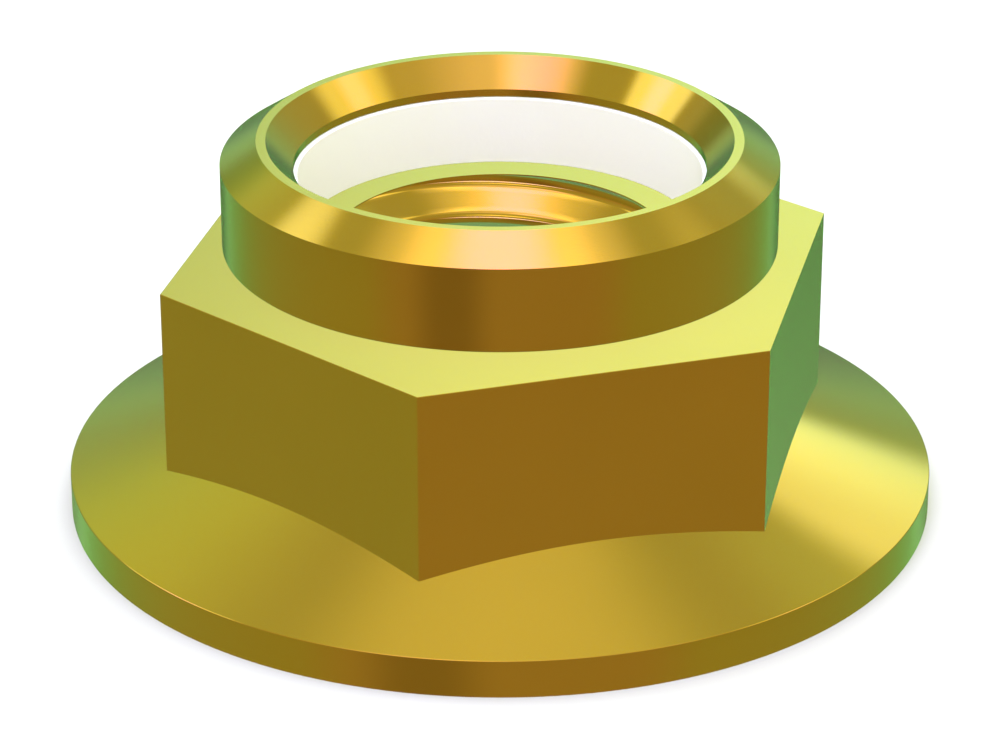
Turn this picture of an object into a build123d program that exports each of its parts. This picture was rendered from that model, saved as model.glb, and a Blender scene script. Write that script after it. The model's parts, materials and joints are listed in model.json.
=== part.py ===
from build123d import *
import math
import os

os.makedirs("parts", exist_ok=True)

# Flanged hexagon lock nut, M10 x 1.5, with a nylon ring held in its crown.
# All sizes are in millimetres and degrees. The origin is the centre of the
# bearing face, and +Z runs up the thread axis towards the crown.

# Flange and hexagon
flange_diameter = 21.8
flange_rim_height = 0.95
flange_slope = 19.0
across_flats = 15.0
hexagon_height = 6.5

# Thread, kept as a plain hole at its minor diameter, with a countersunk mouth
thread_diameter = 10.0
thread_pitch = 1.5
mouth_clearance = 0.3
mouth_angle = 120.0

# Nylon ring, which grips the bolt at the thread's full diameter
ring_wall = 0.88
ring_height = 1.76
ring_clearance = 0.02

# Crown: a collar on a relieved neck, turned inwards over the ring
collar_wall = 1.0
collar_height = 2.1
relief_height = 0.43
relief_width = 0.98
shoulder_width = 0.9
shoulder_height = 0.59
rim_width = 0.24
lip_gap = 0.1
lip_thickness = 0.2

# Minor diameter of an ISO metric thread: 5/8 of the sharp triangle's height
# is left between the major and the minor radius
THREAD_DEPTH_RATIO = 5 / 8 * math.sqrt(3) / 2
HEXAGON_SIDES = 6

# Radii that follow from the sizes above
flange_radius = flange_diameter / 2
hole_radius = thread_diameter / 2 - THREAD_DEPTH_RATIO * thread_pitch
mouth_radius = thread_diameter / 2 + mouth_clearance
ring_bore_radius = thread_diameter / 2
ring_outer_radius = ring_bore_radius + ring_wall
pocket_radius = ring_outer_radius + ring_clearance
collar_radius = pocket_radius + collar_wall
neck_radius = collar_radius - relief_width
rim_outer_radius = collar_radius - shoulder_width
rim_inner_radius = rim_outer_radius - rim_width
lip_radius = ring_bore_radius + lip_gap

# Heights above the bearing face
slope_rise = (flange_radius - hole_radius) * math.tan(math.radians(flange_slope))
slope_top = flange_rim_height + slope_rise
seat_height = hexagon_height + relief_height
shoulder_start = seat_height + collar_height
crown_height = shoulder_start + shoulder_height
pocket_top = seat_height + ring_height + ring_clearance
lip_top = pocket_top + lip_thickness

# Half-section of the flange: a straight rim, then a slope that runs on
# inside the hexagon, so the flats meet it in curved lines
flange_section = [
    (0, 0),
    (flange_radius, 0),
    (flange_radius, flange_rim_height),
    (hole_radius, slope_top),
    (0, slope_top),
]

# Half-section of the crown, from the hexagon's top face out under the collar,
# over the shoulder and the rim, down the funnel to the lip, and round the
# pocket that holds the ring, back along the ring's seat
crown_section = [
    (0, hexagon_height),
    (neck_radius, hexagon_height),
    (collar_radius, seat_height),
    (collar_radius, shoulder_start),
    (rim_outer_radius, crown_height),
    (rim_inner_radius, crown_height),
    (lip_radius, lip_top),
    (lip_radius, pocket_top),
    (pocket_radius, pocket_top),
    (pocket_radius, seat_height),
    (0, seat_height),
]

# Steel body: flange, hexagon and crown are one forged and turned piece
with BuildPart() as nut_body:
    with BuildSketch(Plane.XZ):
        with BuildLine():
            Polyline(*flange_section, close=True)
        make_face()
    revolve(axis=Axis.Z)

    with BuildSketch(Plane.XY):
        RegularPolygon(
            radius=across_flats / 2,
            side_count=HEXAGON_SIDES,
            major_radius=False,
        )
    extrude(amount=hexagon_height)

    with BuildSketch(Plane.XZ):
        with BuildLine():
            Polyline(*crown_section, close=True)
        make_face()
    revolve(axis=Axis.Z)

    # Thread hole, cut from the bearing face up to the ring's seat
    with Locations(Location((0, 0, 0), (180, 0, 0))):
        CounterSinkHole(
            radius=hole_radius,
            counter_sink_radius=mouth_radius,
            depth=seat_height,
            counter_sink_angle=mouth_angle,
        )

# Nylon ring: sits on the seat, inside the pocket and under the lip
with BuildPart() as nylon_insert:
    with BuildSketch(Plane.XY.offset(seat_height)):
        Circle(ring_outer_radius)
        Circle(ring_bore_radius, mode=Mode.SUBTRACT)
    extrude(amount=ring_height)

nut_body.part.label = "nut_body"
nylon_insert.part.label = "nylon_insert"

export_step(nut_body.part, "parts/nut_body.step")
export_step(nylon_insert.part, "parts/nylon_insert.step")
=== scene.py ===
import json
import math

import bmesh
import bpy
from bpy.props import FloatProperty, FloatVectorProperty, IntProperty, PointerProperty
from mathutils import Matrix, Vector


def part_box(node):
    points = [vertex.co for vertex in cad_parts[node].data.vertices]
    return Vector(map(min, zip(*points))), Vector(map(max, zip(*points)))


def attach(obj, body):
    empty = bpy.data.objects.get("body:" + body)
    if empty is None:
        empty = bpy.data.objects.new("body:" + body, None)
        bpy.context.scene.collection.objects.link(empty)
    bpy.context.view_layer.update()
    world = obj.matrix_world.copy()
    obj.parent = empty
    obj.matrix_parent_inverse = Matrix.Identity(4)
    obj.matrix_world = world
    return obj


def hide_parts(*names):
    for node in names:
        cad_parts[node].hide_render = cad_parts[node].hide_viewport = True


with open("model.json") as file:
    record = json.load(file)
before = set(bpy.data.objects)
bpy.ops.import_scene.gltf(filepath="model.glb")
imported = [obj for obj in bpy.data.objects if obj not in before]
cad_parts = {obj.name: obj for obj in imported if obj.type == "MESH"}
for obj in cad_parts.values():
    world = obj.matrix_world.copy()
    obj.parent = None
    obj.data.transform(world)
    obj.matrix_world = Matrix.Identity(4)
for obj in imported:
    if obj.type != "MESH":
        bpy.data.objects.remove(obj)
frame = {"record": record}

bl_info = {
    "name": "Nylon Insert Lock Nut",
    "version": (1, 0, 0),
    "blender": (4, 5, 0),
    "location": "View3D > Sidebar > Lock Nut",
    "description": "Builds a flanged lock nut with a nylon ring in its crown, and a stage to look at it",
    "category": "Object",
}

MILLIMETRE = 0.001
AXIS = Vector((0, 0, 1))
CENTRE = Vector((0, 0, 0))
HEXAGON_SIDES = 6
SIDE_ANGLE = math.tau / HEXAGON_SIDES

# Edges that turn by more than this stay crisp, so flat faces are shaded flat
CRISP_ANGLE = math.radians(12)

# Distances within which points count as one, as lying in a plane, or as lying at a height
MERGE_DISTANCE = 0.002 * MILLIMETRE
PLANE_DISTANCE = 0.0001 * MILLIMETRE
HEIGHT_TOLERANCE = 0.01 * MILLIMETRE

# The frame's own sizes, which some of the defaults below use
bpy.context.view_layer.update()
body_low, body_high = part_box("nut_body")
ring_low, ring_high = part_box("nylon_insert")
mount_dims = {mount["name"]: mount["dims"] for mount in frame["record"]["mounts"]}


def length(name, description, default):
    """A size in metres."""
    return FloatProperty(
        name=name,
        description=description,
        default=default,
        min=0,
        unit="LENGTH",
        subtype="DISTANCE",
        precision=6,
    )


def colour(name, description, default):
    """A linear colour."""
    return FloatVectorProperty(
        name=name, description=description, default=default, min=0, max=1, size=3, subtype="COLOR"
    )


def amount(name, description, default):
    """A share from 0 to 1."""
    return FloatProperty(name=name, description=description, default=default, min=0, max=1)


def angle(name, description, degrees):
    """An angle, kept in radians."""
    return FloatProperty(name=name, description=description, default=math.radians(degrees), subtype="ANGLE")


class LOCKNUT_PG_steel(bpy.types.PropertyGroup):
    """Sizes of the steel body"""

    flange_radius: length("Flange radius", "Outer radius of the flange", body_high.x)
    rim_height: length("Flange rim", "Height of the flange's straight rim", 0.95 * MILLIMETRE)
    flange_slope: angle("Flange slope", "Slope of the flange's top", 19)
    apothem: length("Hexagon", "Half of the width across flats", 7.5 * MILLIMETRE)
    hexagon_height: length("Hexagon height", "Top face above the bearing face", 6.5 * MILLIMETRE)
    neck_radius: length("Neck radius", "Radius of the relieved neck", 5.92 * MILLIMETRE)
    ring_play: length("Ring play", "Gap between the ring and its pocket", 0.02 * MILLIMETRE)
    collar_wall: length("Collar wall", "Wall of the collar round the pocket", 1.0 * MILLIMETRE)
    crown_height: length("Crown height", "Rim above the bearing face", body_high.z)
    shoulder_height: length("Shoulder height", "Height of the sloping shoulder", 0.59 * MILLIMETRE)
    shoulder_width: length("Shoulder width", "Width of the sloping shoulder", 0.9 * MILLIMETRE)
    rim_width: length("Rim width", "Width of the flat rim", 0.24 * MILLIMETRE)
    lip_gap: length("Lip gap", "How far the lip stays outside the ring's bore", 0.1 * MILLIMETRE)
    lip_thickness: length("Lip thickness", "Thickness of the lip over the ring", 0.2 * MILLIMETRE)
    edge_radius: length("Edge softness", "Rounding of the turned edges", 0.015 * MILLIMETRE)
    segments: IntProperty(name="Segments", description="Steps in a full turn, a multiple of six", default=240)


class LOCKNUT_PG_thread(bpy.types.PropertyGroup):
    """Sizes of the thread"""

    pitch: length("Pitch", "Rise in one turn", 1.5 * MILLIMETRE)
    crest_radius: length("Crest radius", "Minor radius", mount_dims["thread"]["r_mm"] * MILLIMETRE)
    root_radius: length("Root radius", "Major radius", mount_dims["insert_bore"]["r_mm"] * MILLIMETRE)
    flank_angle: angle("Flank angle", "Lean of the flanks, a little over the standard 30 degrees", 32.5)
    crest_width: length("Crest width", "Width of the crest before it is rounded", 0.22 * MILLIMETRE)
    crest_rounding: length("Crest rounding", "Rounding of the crest's corners", 0.2 * MILLIMETRE)
    root_rounding: length("Root rounding", "Rounding of the root's corners", 0.16 * MILLIMETRE)
    crest_height: length("Crest height", "Height of a crest's middle on the side of +X", 5.37 * MILLIMETRE)
    mouth_radius: length("Mouth radius", "Radius of the countersunk mouth", 5.3 * MILLIMETRE)
    mouth_angle: angle("Mouth angle", "Full angle of the countersink", 120)
    ledge_overhang: length("Ledge overhang", "How far the ledge stands in over the crest", 0.03 * MILLIMETRE)
    ledge_edge: length("Ledge edge", "Thickness of the ledge's edge over the last turn", 0.03 * MILLIMETRE)


class LOCKNUT_PG_ring(bpy.types.PropertyGroup):
    """Sizes of the nylon ring"""

    bore_radius: length("Bore radius", "Inner radius", mount_dims["insert_bore"]["r_mm"] * MILLIMETRE)
    outer_radius: length("Outer radius", "Outer radius", ring_high.x)
    bottom: length("Bottom", "Lower face above the bearing face", ring_low.z)
    top: length("Top", "Upper face above the bearing face", ring_high.z)
    edge_radius: length("Edge radius", "Rounding of its moulded edges", 0.02 * MILLIMETRE)


class LOCKNUT_PG_finish(bpy.types.PropertyGroup):
    """Colours and finish of the two materials"""

    plating: colour("Plating", "Yellow chromate seen straight on", (0.27, 0.155, 0.004))
    plating_deep: colour("Plating, deep", "The same where the film is thicker", (0.26, 0.15, 0.003))
    plating_grazing: colour("Plating, grazing", "Tint of the chromate seen at a low angle", (0.36, 0.8, 0.55))
    bloom: colour("Bloom", "Green sheen of the chromate's film", (0.1, 1.0, 0.08))
    bloom_weight: amount("Bloom weight", "Strength of the green sheen", 0.12)
    bloom_roughness: amount("Bloom roughness", "Spread of the green sheen", 0.55)
    plating_roughness: amount("Plating roughness", "Mean roughness of the plated steel", 0.1)
    sealer: amount("Sealer", "Clear sealer over the chromate", 0.3)
    sealer_roughness: amount("Sealer roughness", "Roughness of the clear sealer", 0.06)
    nylon: colour("Nylon", "Warm white of the ring", (0.86, 0.91, 0.81))
    nylon_deep: colour("Nylon, deep", "The same in its faint clouds", (0.85, 0.895, 0.795))
    nylon_roughness: amount("Nylon roughness", "Mean roughness of the moulded ring", 0.42)
    nylon_gloss: amount("Nylon gloss", "Strength of the ring's faint reflections", 0.12)


class LOCKNUT_PG_stage(bpy.types.PropertyGroup):
    """Camera and light"""

    azimuth: angle("Azimuth", "Camera's turn round the nut", -17.283)
    elevation: angle("Elevation", "Camera's height over the horizon", 24.954)
    aim_height: length("Aim height", "Point on the axis that the camera looks at", 3.139 * MILLIMETRE)
    distance: length("Distance", "From the aim point to the camera", 98.094 * MILLIMETRE)
    lens: FloatProperty(name="Lens", description="Focal length in millimetres", default=139.7)
    floor_radius: length("Floor radius", "Radius of the round floor", 1.2)
    floor_colour: colour("Floor", "Pale floor", (0.56, 0.6, 0.46))


def wire(bm, points):
    """Draws a half-section in the XZ plane from (radius, height) points, and returns its vertices."""
    verts = [bm.verts.new((radius, 0, height)) for radius, height in points]
    for first, second in zip(verts, verts[1:]):
        bm.edges.new((first, second))
    return verts


def round_corners(bm, corners, offset, segments):
    """Rounds corners of a half-section, cutting each back by the offset."""
    bmesh.ops.bevel(
        bm,
        geom=corners,
        offset=offset,
        offset_type="OFFSET",
        segments=segments,
        profile=0.5,
        affect="VERTICES",
        material=-1,
        clamp_overlap=True,
    )


def spin_full(bm, segments):
    """Turns the half-section once round the axis and closes it."""
    bmesh.ops.spin(
        bm,
        geom=bm.verts[:] + bm.edges[:],
        cent=CENTRE,
        axis=AXIS,
        dvec=CENTRE,
        angle=math.tau,
        steps=segments,
        use_merge=True,
        use_normal_flip=False,
        use_duplicate=False,
    )


def finish_piece(name, bm, body, node, material):
    """Makes an object of the mesh, shades it and puts it in the frame."""
    bmesh.ops.recalc_face_normals(bm, faces=bm.faces[:])
    mesh = bpy.data.meshes.new(name)
    bm.to_mesh(mesh)
    bm.free()
    mesh.shade_smooth()
    mesh.set_sharp_from_angle(angle=CRISP_ANGLE)
    piece = bpy.data.objects.new(name, mesh)
    bpy.context.scene.collection.objects.link(piece)
    mesh.materials.append(material)
    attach(piece, body)
    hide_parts(node)
    # The plating mirrors the studio only, and no part of the nut
    piece.visible_glossy = False


def open_edges(bm):
    """Edges that only one face uses."""
    return [edge for edge in bm.edges if len(edge.link_faces) == 1]


def bridge_flat(bm, height):
    """Joins the two open rings at one height by a flat face. The inner ring is lifted while they are joined,
    because two rings in one plane can be joined the wrong way round."""
    lift = AXIS * MILLIMETRE
    rings = [
        edge
        for edge in open_edges(bm)
        if all(abs(vert.co.z - height) < HEIGHT_TOLERANCE for vert in edge.verts)
    ]
    verts = {vert for edge in rings for vert in edge.verts}
    middle = (max(vert.co.xy.length for vert in verts) + min(vert.co.xy.length for vert in verts)) / 2
    inner = [vert for vert in verts if vert.co.xy.length < middle]
    bmesh.ops.translate(bm, verts=inner, vec=lift)
    bmesh.ops.bridge_loops(bm, edges=rings)
    bmesh.ops.translate(bm, verts=inner, vec=-lift)


def thread_profile(bm, size, start):
    """Draws one pitch of the thread's section upwards from a crest's middle, with its corners rounded."""
    depth = size.root_radius - size.crest_radius
    crest_half = size.crest_width / 2
    root_half = size.pitch / 2 - crest_half - depth * math.tan(size.flank_angle)
    middle = start + size.pitch / 2
    end = start + size.pitch
    corners = wire(
        bm,
        [
            (size.crest_radius, start),
            (size.crest_radius, start + crest_half),
            (size.root_radius, middle - root_half),
            (size.root_radius, middle + root_half),
            (size.crest_radius, end - crest_half),
            (size.crest_radius, end),
        ],
    )
    cut_back = math.tan((math.pi / 2 - size.flank_angle) / 2)
    # The root's two corners stay just short of its middle, where they would meet
    widest = root_half * 0.98
    round_corners(bm, [corners[1], corners[4]], size.crest_rounding * cut_back, segments=6)
    round_corners(bm, [corners[2], corners[3]], min(size.root_rounding * cut_back, widest), segments=6)
    # Only a flank spans more than a third of the depth
    flanks = [edge for edge in bm.edges if abs(edge.verts[0].co.x - edge.verts[1].co.x) > depth / 3]
    bmesh.ops.subdivide_edges(bm, edges=flanks, cuts=4)


def wind_thread(bm, pitch, turns, segments):
    """Winds the profile into a helix, one turn first, and stacks copies of that turn."""
    bmesh.ops.spin(
        bm,
        geom=bm.verts[:] + bm.edges[:],
        cent=CENTRE,
        axis=AXIS,
        dvec=Vector((0, 0, pitch / segments)),
        angle=math.tau,
        steps=segments,
        use_merge=False,
        use_normal_flip=False,
        use_duplicate=False,
    )
    one_turn = bm.verts[:] + bm.edges[:] + bm.faces[:]
    for turn in range(1, turns):
        copied = bmesh.ops.duplicate(bm, geom=one_turn)["geom"]
        verts = [item for item in copied if isinstance(item, bmesh.types.BMVert)]
        bmesh.ops.translate(bm, verts=verts, vec=AXIS * pitch * turn)
    bmesh.ops.remove_doubles(bm, verts=bm.verts[:], dist=MERGE_DISTANCE)


def open_mouth(bm, size):
    """Pushes what stands in the countersunk mouth out to its cone."""
    spread = math.tan(size.mouth_angle / 2)
    for vert in bm.verts:
        mouth = size.mouth_radius - vert.co.z * spread
        radius = vert.co.xy.length
        if radius < mouth:
            vert.co.xy *= mouth / radius


def cut_off(bm, height, above):
    """Cuts the thread level at a height and clears what is above it, or else what is below."""
    bmesh.ops.bisect_plane(
        bm,
        geom=bm.verts[:] + bm.edges[:] + bm.faces[:],
        dist=PLANE_DISTANCE,
        plane_co=(0, 0, height),
        plane_no=AXIS,
        clear_outer=above,
        clear_inner=not above,
    )


def grow_ledge(bm, size, height):
    """Closes the thread's upper end by the round edge that the ring's seat has over it."""
    radius = size.crest_radius - size.ledge_overhang
    edge = [item for item in open_edges(bm) if item.verts[0].co.z > size.pitch]
    for level in (height, height + size.ledge_edge):
        grown = bmesh.ops.extrude_edge_only(bm, edges=edge)["geom"]
        edge = [item for item in grown if isinstance(item, bmesh.types.BMEdge)]
        for vert in (item for item in grown if isinstance(item, bmesh.types.BMVert)):
            vert.co.xy *= radius / vert.co.xy.length
            vert.co.z = level


def thread_mesh(size, segments, seat):
    """The threaded wall of the hole, from the mouth up to the round edge of the ring's seat."""
    bm = bmesh.new()
    top = seat - size.ledge_edge
    start = size.crest_height - size.pitch * math.ceil(size.crest_height / size.pitch + 1)
    turns = math.ceil((top - start) / size.pitch) + 1
    thread_profile(bm, size, start)
    wind_thread(bm, size.pitch, turns, segments)
    open_mouth(bm, size)
    cut_off(bm, 0, above=False)
    cut_off(bm, top, above=True)
    grow_ledge(bm, size, top)
    mesh = bpy.data.meshes.new("thread")
    bm.to_mesh(mesh)
    bm.free()
    return mesh


def height_on_slope(steel, radius):
    """Height of the flange's sloping top at a radius."""
    return steel.rim_height + (steel.flange_radius - radius) * math.tan(steel.flange_slope)


def steel_section(steel, ring):
    """The half-section of the body's outside, from the flange's lower edge round to the pocket's floor.
    Each corner has its radius, its height and whether its edge is softened."""
    pocket_radius = ring.outer_radius + steel.ring_play
    collar_radius = pocket_radius + steel.collar_wall
    shoulder_start = steel.crown_height - steel.shoulder_height
    rim_outer = collar_radius - steel.shoulder_width
    rim_inner = rim_outer - steel.rim_width
    lip_radius = ring.bore_radius + steel.lip_gap
    pocket_top = ring.top + steel.ring_play
    return [
        (steel.flange_radius, 0, False),
        (steel.flange_radius, steel.rim_height, True),
        (steel.apothem, height_on_slope(steel, steel.apothem), False),
        (steel.apothem, steel.hexagon_height, True),
        (steel.neck_radius, steel.hexagon_height, False),
        (collar_radius, ring.bottom, True),
        (collar_radius, shoulder_start, False),
        (rim_outer, steel.crown_height, False),
        (rim_inner, steel.crown_height, False),
        (lip_radius, pocket_top + steel.lip_thickness, False),
        (lip_radius, pocket_top, True),
        (pocket_radius, pocket_top, False),
        (pocket_radius, ring.bottom, False),
    ]


def shape_hexagon(bm, steel):
    """Draws the round rings that stand for the hexagon out to its flats, down to the flange's slope."""
    foot = height_on_slope(steel, steel.apothem)
    reach = 4 * steel.edge_radius
    for vert in bm.verts:
        radius = vert.co.xy.length
        in_height = foot - reach < vert.co.z < steel.hexagon_height + reach
        if not in_height or abs(radius - steel.apothem) > reach:
            continue
        turn = math.atan2(vert.co.y, vert.co.x) % SIDE_ANGLE
        spread = radius / math.cos(turn - SIDE_ANGLE / 2)
        if vert.co.z < foot + reach:
            vert.co.z = height_on_slope(steel, spread)
        vert.co.xy *= spread / radius


class LOCKNUT_OT_steel_nut(bpy.types.Operator):
    """Builds the plated steel body: flange, hexagon, crown and thread"""

    bl_idname = "locknut.steel_nut"
    bl_label = "Steel Nut"

    def execute(self, context):
        scene = context.scene
        steel, thread, ring = scene.locknut_steel, scene.locknut_thread, scene.locknut_ring
        bm = bmesh.new()
        section = steel_section(steel, ring)
        corners = wire(bm, [(radius, height) for radius, height, _ in section])
        softened = [corner for corner, (_, _, soft) in zip(corners, section) if soft]
        round_corners(bm, softened, steel.edge_radius, segments=2)
        spin_full(bm, steel.segments)
        shape_hexagon(bm, steel)
        wall = thread_mesh(thread, steel.segments, ring.bottom)
        bm.from_mesh(wall)
        bpy.data.meshes.remove(wall)
        bridge_flat(bm, ring.bottom)
        bridge_flat(bm, 0)
        finish_piece("steel_nut", bm, "root", "nut_body", plated_steel(scene.locknut_finish))
        return {"FINISHED"}


class LOCKNUT_OT_nylon_ring(bpy.types.Operator):
    """Builds the nylon ring that sits in the crown"""

    bl_idname = "locknut.nylon_ring"
    bl_label = "Nylon Ring"

    def execute(self, context):
        scene = context.scene
        ring = scene.locknut_ring
        bm = bmesh.new()
        corners = wire(
            bm,
            [
                (ring.bore_radius, ring.bottom),
                (ring.outer_radius, ring.bottom),
                (ring.outer_radius, ring.top),
                (ring.bore_radius, ring.top),
            ],
        )
        bm.edges.new((corners[-1], corners[0]))
        round_corners(bm, corners, ring.edge_radius, segments=3)
        spin_full(bm, scene.locknut_steel.segments)
        finish_piece("nylon_ring", bm, "root", "nylon_insert", moulded_nylon(scene.locknut_finish))
        return {"FINISHED"}


def new_group(name, inputs, outputs):
    """An empty node group with its sockets, and its two end nodes."""
    group = bpy.data.node_groups.new(name, "ShaderNodeTree")
    for socket, kind, default in inputs:
        made = group.interface.new_socket(socket, in_out="INPUT", socket_type=kind)
        if default is not None:
            made.default_value = default
    for socket, kind in outputs:
        group.interface.new_socket(socket, in_out="OUTPUT", socket_type=kind)
    return group, group.nodes.new("NodeGroupInput"), group.nodes.new("NodeGroupOutput")


def clouded_grain():
    """Node group: slow clouds and fine grain over a surface, both from 0 to 1."""
    name = "Clouded grain"
    if name in bpy.data.node_groups:
        return bpy.data.node_groups[name]
    group, start, end = new_group(
        name,
        [
            ("Vector", "NodeSocketVector", None),
            ("Cloud Scale", "NodeSocketFloat", 300.0),
            ("Grain Scale", "NodeSocketFloat", 20000.0),
        ],
        [("Cloud", "NodeSocketFloat"), ("Grain", "NodeSocketFloat")],
    )
    for output, detail in (("Cloud", 2), ("Grain", 3)):
        noise = group.nodes.new("ShaderNodeTexNoise")
        noise.inputs["Detail"].default_value = detail
        group.links.new(start.outputs["Vector"], noise.inputs["Vector"])
        group.links.new(start.outputs[output + " Scale"], noise.inputs["Scale"])
        # The noise keeps mostly to the middle of its range, so that part is spread out
        spread = group.nodes.new("ShaderNodeMapRange")
        spread.inputs["From Min"].default_value = 0.3
        spread.inputs["From Max"].default_value = 0.7
        group.links.new(noise.outputs["Fac"], spread.inputs["Value"])
        group.links.new(spread.outputs["Result"], end.inputs[output])
    return group


def new_material(name):
    """A node material with its Principled shader and a Texture Coordinate node."""
    material = bpy.data.materials.new(name)
    material.use_nodes = True
    nodes, links = material.node_tree.nodes, material.node_tree.links
    return material, nodes, links, nodes["Principled BSDF"], nodes.new("ShaderNodeTexCoord")


def add_grain(nodes, links, where, cloud_scale, grain_scale):
    """Places the clouded grain in a material, on Object coordinates."""
    grain = nodes.new("ShaderNodeGroup")
    grain.node_tree = clouded_grain()
    grain.inputs["Cloud Scale"].default_value = cloud_scale
    grain.inputs["Grain Scale"].default_value = grain_scale
    links.new(where.outputs["Object"], grain.inputs["Vector"])
    return grain


def mix_colours(nodes, links, factor, first, second):
    """Mixes two fixed colours by a factor that changes over the surface."""
    mix = nodes.new("ShaderNodeMix")
    mix.data_type = "RGBA"
    mix.inputs["A"].default_value = (*first, 1)
    mix.inputs["B"].default_value = (*second, 1)
    links.new(factor, mix.inputs["Factor"])
    return mix.outputs["Result"]


def set_grained_roughness(nodes, links, shader, grain, mean, spread):
    """Lets the roughness vary with the grain by a spread to either side of its mean."""
    roughness = nodes.new("ShaderNodeMapRange")
    roughness.inputs["To Min"].default_value = mean - spread
    roughness.inputs["To Max"].default_value = mean + spread
    links.new(grain.outputs["Grain"], roughness.inputs["Value"])
    links.new(roughness.outputs["Result"], shader.inputs["Roughness"])


def set_grained_bump(nodes, links, shader, grain, strength, depth):
    """Lets the grain roughen the surface to a depth."""
    bump = nodes.new("ShaderNodeBump")
    bump.inputs["Strength"].default_value = strength
    bump.inputs["Distance"].default_value = depth
    links.new(grain.outputs["Grain"], bump.inputs["Height"])
    links.new(bump.outputs["Normal"], shader.inputs["Normal"])


def plated_steel(finish):
    """Steel with a smooth yellow chromate, gold straight on and green at a low angle."""
    material, nodes, links, shader, where = new_material("Yellow chromate steel")
    grain = add_grain(nodes, links, where, cloud_scale=260, grain_scale=26000)
    tone = mix_colours(nodes, links, grain.outputs["Cloud"], finish.plating, finish.plating_deep)
    links.new(tone, shader.inputs["Base Color"])
    shader.inputs["Metallic"].default_value = 1
    shader.inputs["Specular Tint"].default_value = (*finish.plating_grazing, 1)
    shader.inputs["Coat Weight"].default_value = finish.sealer
    shader.inputs["Coat Roughness"].default_value = finish.sealer_roughness
    shader.inputs["Sheen Weight"].default_value = finish.bloom_weight
    shader.inputs["Sheen Roughness"].default_value = finish.bloom_roughness
    shader.inputs["Sheen Tint"].default_value = (*finish.bloom, 1)
    set_grained_roughness(nodes, links, shader, grain, finish.plating_roughness, spread=0.02)
    set_grained_bump(nodes, links, shader, grain, strength=0.05, depth=0.005 * MILLIMETRE)
    return material


def moulded_nylon(finish):
    """Warm white nylon, smooth from its mould."""
    material, nodes, links, shader, where = new_material("Moulded nylon")
    grain = add_grain(nodes, links, where, cloud_scale=400, grain_scale=9000)
    tone = mix_colours(nodes, links, grain.outputs["Cloud"], finish.nylon, finish.nylon_deep)
    links.new(tone, shader.inputs["Base Color"])
    shader.inputs["Specular IOR Level"].default_value = finish.nylon_gloss
    set_grained_roughness(nodes, links, shader, grain, finish.nylon_roughness, spread=0.05)
    set_grained_bump(nodes, links, shader, grain, strength=0.15, depth=0.01 * MILLIMETRE)
    return material


# Soft boxes of the studio, with small lamps in some, and dark cards that take light away: name, azimuth and
# elevation, half sizes across and upwards, softness of the edge as a share of the half size, and the linear
# colour that they add to the even light. The angles are in degrees, seen from the nut, with azimuth 0 on the
# camera's right and 90 away from the camera. The small lamps carry most of the blue, which turns the gold's
# brightest streaks to peach.
SOFT_BOXES = (
    ("overhead", 90, 90, 27, 5.5, 0.45, (2.4, 1.9, 2.8)),
    ("overhead lamp", 90, 90, 10, 3.5, 0.6, (2.6, 0.3, 16)),
    ("overhead right", 0, 69, 9, 8, 0.5, (1.1, 1.1, 1.8)),
    ("overhead left", 180, 69, 9, 8, 0.5, (1.0, 1.0, 1.4)),
    ("overhead back", 88, 68, 15, 9, 0.5, (0.6, 0.65, 0.6)),
    ("back right", 67, 29.5, 12.5, 11, 0.3, (2.15, 2.45, 2.95)),
    ("back right high", 52, 43, 6, 8, 0.7, (0.3, 0.6, 0.4)),
    ("back", 82, 28, 13, 10, 0.6, (2.5, 2.7, 3.0)),
    ("left", 160, 41, 14.5, 13, 0.15, (2.6, 3.1, 4.6)),
    ("left lamp", 162, 41, 5, 5, 0.6, (2.0, 0.3, 9)),
    ("left low", 121, 35, 12, 14, 0.8, (0.4, 0.75, 0.15)),
    ("dark card at left", 129, 15, 11, 9, 0.6, (-0.5, -0.55, -0.6)),
    ("right", 11, 42, 16, 13, 0.35, (2.1, 2.3, 2.4)),
    ("right lamp", 9, 43, 5, 5, 0.6, (2.0, 0.8, 5)),
    ("front high", 236, 64, 13, 13, 0.5, (2.2, 1.7, 4.5)),
    ("front high lamp", 240, 64, 9, 6, 0.6, (1.0, -0.4, 8)),
    ("front high fill", 275, 62, 20, 14, 0.7, (1.4, 1.1, 3)),
    ("front right high", 335, 56, 14, 8, 0.8, (0.5, 0.4, 0.8)),
    ("front low", 270, 27, 30, 11, 0.6, (0.5, 0.7, 0)),
    ("front low lamp", 270, 24, 22, 4, 0.5, (3.8, 3.2, 6)),
    ("front horizon lamp", 270, -7, 36, 7, 0.5, (4.6, 4.4, 28)),
    ("front floor", 270, -28, 45, 20, 0.4, (0.06, -0.16, 0.05)),
    ("dark card in front", 250, -27, 11, 40, 0.7, (-0.3, -0.25, -0.2)),
    ("dark card behind", 90, -17, 25, 24, 0.4, (-0.66, -0.66, -0.35)),
)

# The even light: its colour at heights from straight down to straight up, in degrees
EVEN_LIGHT = (
    (-90, (0.85, 0.8, 0.5)),
    (-34, (0.98, 0.98, 0.52)),
    (-26, (0.94, 0.93, 0.48)),
    (-22, (0.86, 0.84, 0.44)),
    (-14, (0.86, 0.84, 0.44)),
    (0, (1.3, 1.02, 0.75)),
    (10, (1.25, 1.15, 1.0)),
    (60, (1.35, 1.45, 1.15)),
    (68, (1.6, 1.65, 1.5)),
    (76, (2.1, 2.15, 2.0)),
    (90, (2.1, 2.15, 2.0)),
)


def calculate(tree, operation, *values):
    """A Math node on fixed values and other nodes' outputs."""
    node = tree.nodes.new("ShaderNodeMath")
    node.operation = operation
    for socket, value in zip(node.inputs, values):
        if isinstance(value, bpy.types.NodeSocket):
            tree.links.new(value, socket)
        else:
            socket.default_value = value
    return node.outputs["Value"]


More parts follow.
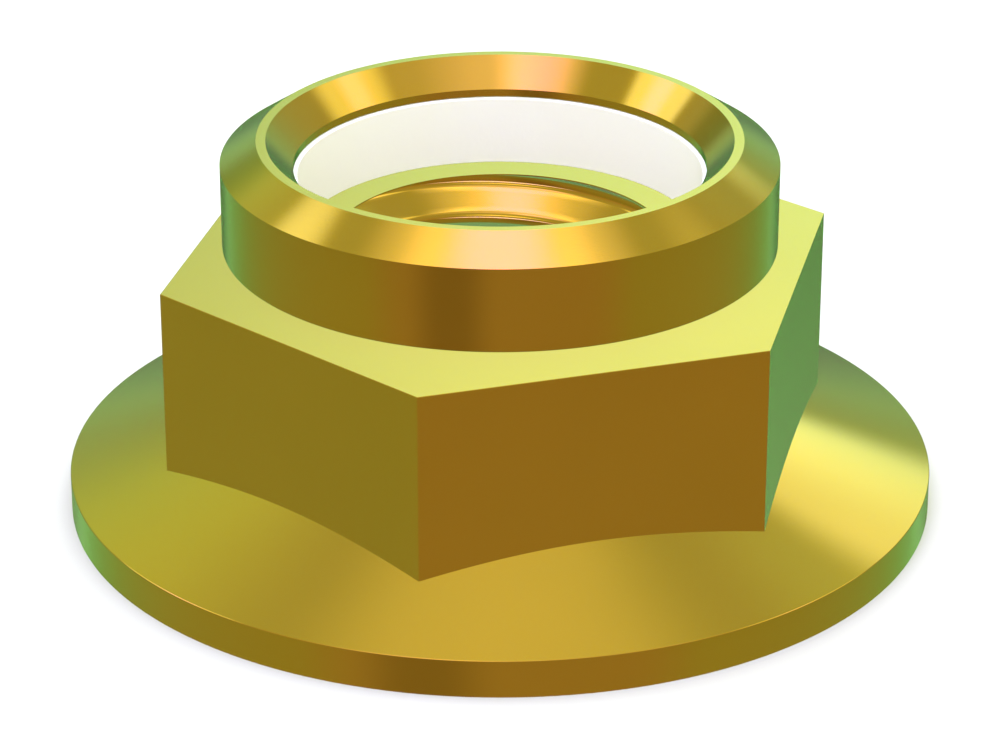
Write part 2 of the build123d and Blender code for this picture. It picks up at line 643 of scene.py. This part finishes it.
def soft_box_group():
    """Node group: how much of a soft box is seen in a direction, from 0 to 1."""
    name = "Soft box"
    if name in bpy.data.node_groups:
        return bpy.data.node_groups[name]
    group, start, end = new_group(
        name,
        [
            ("Direction", "NodeSocketVector", None),
            ("Middle", "NodeSocketVector", None),
            ("Across", "NodeSocketVector", None),
            ("Upwards", "NodeSocketVector", None),
            ("Softness", "NodeSocketFloat", 0.5),
        ],
        [("Light", "NodeSocketFloat")],
    )
    parts = []
    for axis in ("Middle", "Across", "Upwards"):
        node = group.nodes.new("ShaderNodeVectorMath")
        node.operation = "DOT_PRODUCT"
        group.links.new(start.outputs["Direction"], node.inputs[0])
        group.links.new(start.outputs[axis], node.inputs[1])
        parts.append(node.outputs["Value"])
    # A direction away from the box lands far outside it
    depth = calculate(group, "MAXIMUM", parts[0], 0.001)
    squares = [
        calculate(group, "MULTIPLY", share, share)
        for share in (calculate(group, "DIVIDE", part, depth) for part in parts[1:])
    ]
    reach = calculate(group, "SQRT", calculate(group, "ADD", *squares))
    edge = group.nodes.new("ShaderNodeMapRange")
    edge.interpolation_type = "SMOOTHSTEP"
    edge.inputs["To Min"].default_value = 1
    edge.inputs["To Max"].default_value = 0
    group.links.new(reach, edge.inputs["Value"])
    group.links.new(calculate(group, "SUBTRACT", 1, start.outputs["Softness"]), edge.inputs["From Min"])
    group.links.new(calculate(group, "ADD", 1, start.outputs["Softness"]), edge.inputs["From Max"])
    group.links.new(edge.outputs["Result"], end.inputs["Light"])
    return group


def direction(azimuth, elevation):
    """Unit vector from the nut, with azimuth 0 towards the camera's right and 90 away from the camera."""
    turn = math.radians(azimuth) + bpy.context.scene.locknut_stage.azimuth
    lift = math.radians(elevation)
    return Vector((math.cos(turn) * math.cos(lift), math.sin(turn) * math.cos(lift), math.sin(lift)))


def studio_world():
    """A world of soft boxes and even light, which is plain white to the camera itself."""
    world = bpy.data.worlds.new("Studio")
    world.use_nodes = True
    # Rays find the soft boxes by themselves, which is quicker here and as smooth
    world.cycles.sampling_method = "NONE"
    tree = world.node_tree
    nodes, links = tree.nodes, tree.links
    where = nodes.new("ShaderNodeTexCoord").outputs["Generated"]
    split = nodes.new("ShaderNodeSeparateXYZ")
    links.new(where, split.inputs["Vector"])
    ramp = nodes.new("ShaderNodeValToRGB")
    brightest = max(max(tone) for _, tone in EVEN_LIGHT)
    stops = ramp.color_ramp.elements
    stops.remove(stops[0])
    for elevation, tone in EVEN_LIGHT:
        height = (math.sin(math.radians(elevation)) + 1) / 2
        stop = stops[-1] if height == 1 else stops.new(height)
        stop.color = (*[channel / brightest for channel in tone], 1)
    links.new(calculate(tree, "MULTIPLY_ADD", split.outputs["Z"], 0.5, 0.5), ramp.inputs["Fac"])
    light = nodes.new("ShaderNodeVectorMath")
    light.operation = "SCALE"
    light.inputs["Scale"].default_value = brightest
    links.new(ramp.outputs["Color"], light.inputs[0])
    for name, azimuth, elevation, wide, high, softness, tone in SOFT_BOXES:
        middle = direction(azimuth, elevation)
        across = direction(azimuth + 90, 0)
        box = nodes.new("ShaderNodeGroup")
        box.label = name
        box.node_tree = soft_box_group()
        box.inputs["Middle"].default_value = middle
        box.inputs["Across"].default_value = across / math.tan(math.radians(wide))
        box.inputs["Upwards"].default_value = middle.cross(across) / math.tan(math.radians(high))
        box.inputs["Softness"].default_value = softness
        links.new(where, box.inputs["Direction"])
        added = nodes.new("ShaderNodeVectorMath")
        added.operation = "MULTIPLY_ADD"
        links.new(box.outputs["Light"], added.inputs[0])
        added.inputs[1].default_value = tone
        links.new(light.outputs["Vector"], added.inputs[2])
        light = added
    seen = nodes.new("ShaderNodeMix")
    seen.data_type = "RGBA"
    links.new(nodes.new("ShaderNodeLightPath").outputs["Is Camera Ray"], seen.inputs["Factor"])
    links.new(light.outputs["Vector"], seen.inputs["A"])
    seen.inputs["B"].default_value = (1, 1, 1, 1)
    links.new(seen.outputs["Result"], nodes["Background"].inputs["Color"])
    return world


def pale_floor_material(stage):
    """A plain pale floor with the faintest clouds."""
    material, nodes, links, shader, where = new_material("Pale floor")
    grain = add_grain(nodes, links, where, cloud_scale=20, grain_scale=2000)
    # The clouds are darker by one part in a hundred
    shade = [channel * 0.99 for channel in stage.floor_colour]
    tone = mix_colours(nodes, links, grain.outputs["Cloud"], stage.floor_colour, shade)
    links.new(tone, shader.inputs["Base Color"])
    shader.inputs["Roughness"].default_value = 0.9
    shader.inputs["Specular IOR Level"].default_value = 0
    return material


class LOCKNUT_OT_stage(bpy.types.Operator):
    """Builds the floor, the soft boxes, the even light and the camera"""

    bl_idname = "locknut.stage"
    bl_label = "Stage"

    def execute(self, context):
        scene = context.scene
        stage = scene.locknut_stage
        bm = bmesh.new()
        bmesh.ops.create_circle(bm, cap_ends=True, segments=96, radius=stage.floor_radius)
        mesh = bpy.data.meshes.new("floor")
        bm.to_mesh(mesh)
        bm.free()
        floor = bpy.data.objects.new("floor", mesh)
        scene.collection.objects.link(floor)
        mesh.materials.append(pale_floor_material(stage))
        floor.visible_glossy = False
        scene.world = studio_world()
        lens = bpy.data.cameras.new("Camera")
        lens.lens = stage.lens
        lens.sensor_width = 36
        lens.clip_start = 0.01
        camera = bpy.data.objects.new("Camera", lens)
        scene.collection.objects.link(camera)
        backwards = Vector(
            (
                math.sin(stage.azimuth) * math.cos(stage.elevation),
                -math.cos(stage.azimuth) * math.cos(stage.elevation),
                math.sin(stage.elevation),
            )
        )
        camera.location = AXIS * stage.aim_height + backwards * stage.distance
        camera.rotation_euler = backwards.to_track_quat("Z", "Y").to_euler()
        scene.camera = camera
        scene.view_settings.view_transform = "Standard"
        return {"FINISHED"}


class LOCKNUT_PT_panel(bpy.types.Panel):
    """Sizes, finishes and operators of the lock nut"""

    bl_idname = "LOCKNUT_PT_panel"
    bl_label = "Nylon Insert Lock Nut"
    bl_space_type = "VIEW_3D"
    bl_region_type = "UI"
    bl_category = "Lock Nut"

    def draw(self, context):
        layout = self.layout
        for operator in OPERATORS:
            layout.operator(operator.bl_idname)
        for attribute, group in GROUPS.items():
            box = layout.box()
            box.label(text=group.__doc__)
            for name in group.__annotations__:
                box.prop(getattr(context.scene, attribute), name)


OPERATORS = (LOCKNUT_OT_steel_nut, LOCKNUT_OT_nylon_ring, LOCKNUT_OT_stage)
GROUPS = {
    "locknut_steel": LOCKNUT_PG_steel,
    "locknut_thread": LOCKNUT_PG_thread,
    "locknut_ring": LOCKNUT_PG_ring,
    "locknut_finish": LOCKNUT_PG_finish,
    "locknut_stage": LOCKNUT_PG_stage,
}
CLASSES = (*GROUPS.values(), *OPERATORS, LOCKNUT_PT_panel)


def register():
    """Makes the classes and the groups of properties known to Blender."""
    for cls in CLASSES:
        bpy.utils.register_class(cls)
    for attribute, group in GROUPS.items():
        setattr(bpy.types.Scene, attribute, PointerProperty(type=group))


def unregister():
    """Takes them out again."""
    for attribute in GROUPS:
        delattr(bpy.types.Scene, attribute)
    for cls in reversed(CLASSES):
        bpy.utils.unregister_class(cls)


def main():
    """Builds the pieces and the stage."""
    register()
    bpy.ops.locknut.steel_nut()
    bpy.ops.locknut.nylon_ring()
    bpy.ops.locknut.stage()


if __name__ == "__main__":
    main()
